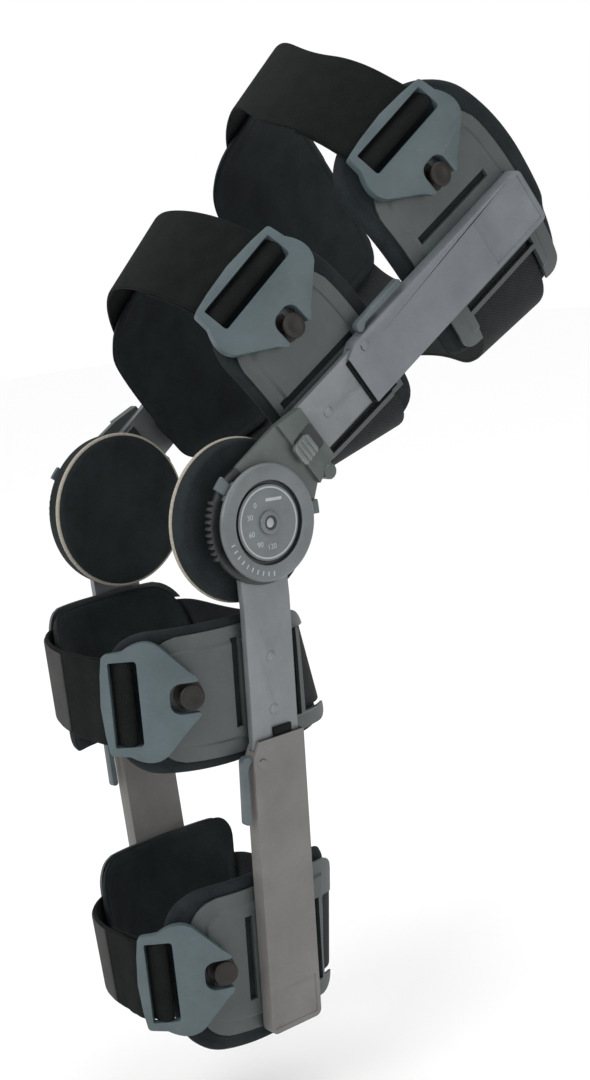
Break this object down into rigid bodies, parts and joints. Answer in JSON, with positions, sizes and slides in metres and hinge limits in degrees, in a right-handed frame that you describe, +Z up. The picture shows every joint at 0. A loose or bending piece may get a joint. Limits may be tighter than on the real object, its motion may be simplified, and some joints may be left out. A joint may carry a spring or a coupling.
{
  "type": "hinged knee brace",
  "caption": "Hinged knee brace, bent as worn: dial hinges with stop tabs, telescoping side bars, padded shells and buckled straps round thigh and calf.",
  "frame": {"origin": "the middle of the knee, on the hinge axis halfway between the two hinges, where the leg holds the brace up", "axes": "+Z up along the upright lower leg, -Y to the front of the knee, +X to the outer side with the buckles' studs"},
  "size_m": [0.2126, 0.354, 0.5645],
  "materials": {
    "bar": "satin",
    "sleeve": "satin",
    "hinge": "satin",
    "steel": "satin",
    "shell": "matt",
    "pad": "matt",
    "strap": "matt",
    "buckle": "satin"
  },
  "bodies": {
    "thigh": {"lateral_condyle_pad": "pad", "lateral_hinge_plate": "hinge", "lateral_hinge_cover": "hinge", "lateral_hinge_dial": "hinge", "lateral_hinge_pivot": "steel", "lateral_thigh_bar": "bar", "lateral_thigh_sleeve": "sleeve", "medial_condyle_pad": "pad", "medial_hinge_plate": "hinge", "medial_hinge_cover": "hinge", "medial_hinge_dial": "hinge", "medial_hinge_pivot": "steel", "medial_thigh_bar": "bar", "medial_thigh_sleeve": "sleeve", "upper_thigh_lateral_shell": "shell", "upper_thigh_medial_shell": "shell", "upper_thigh_lateral_pad": "pad", "upper_thigh_medial_pad": "pad", "upper_thigh_buckle": "buckle", "upper_thigh_front_strap": "strap", "upper_thigh_rear_strap": "strap", "lower_thigh_lateral_shell": "shell", "lower_thigh_medial_shell": "shell", "lower_thigh_lateral_pad": "pad", "lower_thigh_medial_pad": "pad", "lower_thigh_buckle": "buckle", "lower_thigh_front_strap": "strap", "lower_thigh_rear_strap": "strap"},
    "calf": {"lateral_calf_bar": "bar", "lateral_calf_sleeve": "sleeve", "medial_calf_bar": "bar", "medial_calf_sleeve": "sleeve", "upper_calf_lateral_shell": "shell", "upper_calf_medial_shell": "shell", "upper_calf_lateral_pad": "pad", "upper_calf_medial_pad": "pad", "upper_calf_buckle": "buckle", "upper_calf_front_strap": "strap", "upper_calf_rear_strap": "strap", "lower_calf_lateral_shell": "shell", "lower_calf_medial_shell": "shell", "lower_calf_lateral_pad": "pad", "lower_calf_medial_pad": "pad", "lower_calf_buckle": "buckle", "lower_calf_front_strap": "strap", "lower_calf_rear_strap": "strap"},
    "lateral_lock_slide": {"lateral_lock_slide": "hinge"},
    "lateral_extension_stop": {"lateral_extension_stop": "hinge"},
    "lateral_flexion_stop": {"lateral_flexion_stop": "hinge"},
    "lateral_thigh_lever": {"lateral_thigh_lever": "sleeve"},
    "lateral_calf_lever": {"lateral_calf_lever": "sleeve"},
    "medial_lock_slide": {"medial_lock_slide": "hinge"},
    "medial_extension_stop": {"medial_extension_stop": "hinge"},
    "medial_flexion_stop": {"medial_flexion_stop": "hinge"},
    "medial_thigh_lever": {"medial_thigh_lever": "sleeve"},
    "medial_calf_lever": {"medial_calf_lever": "sleeve"}
  },
  "joints": [
    {"name": "knee_flexion", "type": "hinge", "parent": "thigh", "child": "calf", "pos_m": [0, 0, 0], "axis": [1, 0, 0], "range_deg": [-54, 64]},
    {"name": "lateral_extension_stop_turn", "type": "hinge", "parent": "thigh", "child": "lateral_extension_stop", "pos_m": [0.0789, 0, 0], "axis": [1, 0, 0], "range_deg": [0, 70]},
    {"name": "lateral_flexion_stop_turn", "type": "hinge", "parent": "thigh", "child": "lateral_flexion_stop", "pos_m": [0.0789, 0, 0], "axis": [1, 0, 0], "range_deg": [-105, 0]},
    {"name": "lateral_lock_travel", "type": "slide", "parent": "thigh", "child": "lateral_lock_slide", "axis": [0, 0.809, 0.5878], "range_m": [0, 0.006]},
    {"name": "lateral_thigh_lever_press", "type": "hinge", "parent": "thigh", "child": "lateral_thigh_lever", "pos_m": [0.08209, 0.07916, 0.09546], "axis": [0.9888, -0.121, -0.0879], "range_deg": [-4.5, 0], "stiffness_Nm_per_rad": 0.05},
    {"name": "lateral_calf_lever_press", "type": "hinge", "parent": "calf", "child": "lateral_calf_lever", "pos_m": [0.06699, -0.0217, -0.12993], "axis": [0.9976, 0, -0.0698], "range_deg": [0, 4.5], "stiffness_Nm_per_rad": 0.05},
    {"name": "medial_extension_stop_turn", "type": "hinge", "parent": "thigh", "child": "medial_extension_stop", "pos_m": [-0.0789, 0, 0], "axis": [1, 0, 0], "range_deg": [0, 70]},
    {"name": "medial_flexion_stop_turn", "type": "hinge", "parent": "thigh", "child": "medial_flexion_stop", "pos_m": [-0.0789, 0, 0], "axis": [1, 0, 0], "range_deg": [-105, 0]},
    {"name": "medial_lock_travel", "type": "slide", "parent": "thigh", "child": "medial_lock_slide", "axis": [0, 0.809, 0.5878], "range_m": [0, 0.006]},
    {"name": "medial_thigh_lever_press", "type": "hinge", "parent": "thigh", "child": "medial_thigh_lever", "pos_m": [-0.08209, 0.07916, 0.09546], "axis": [0.9888, 0.121, 0.0879], "range_deg": [-4.5, 0], "stiffness_Nm_per_rad": 0.05},
    {"name": "medial_calf_lever_press", "type": "hinge", "parent": "calf", "child": "medial_calf_lever", "pos_m": [-0.06699, -0.0217, -0.12993], "axis": [0.9976, 0, 0.0698], "range_deg": [0, 4.5], "stiffness_Nm_per_rad": 0.05}
  ]
}
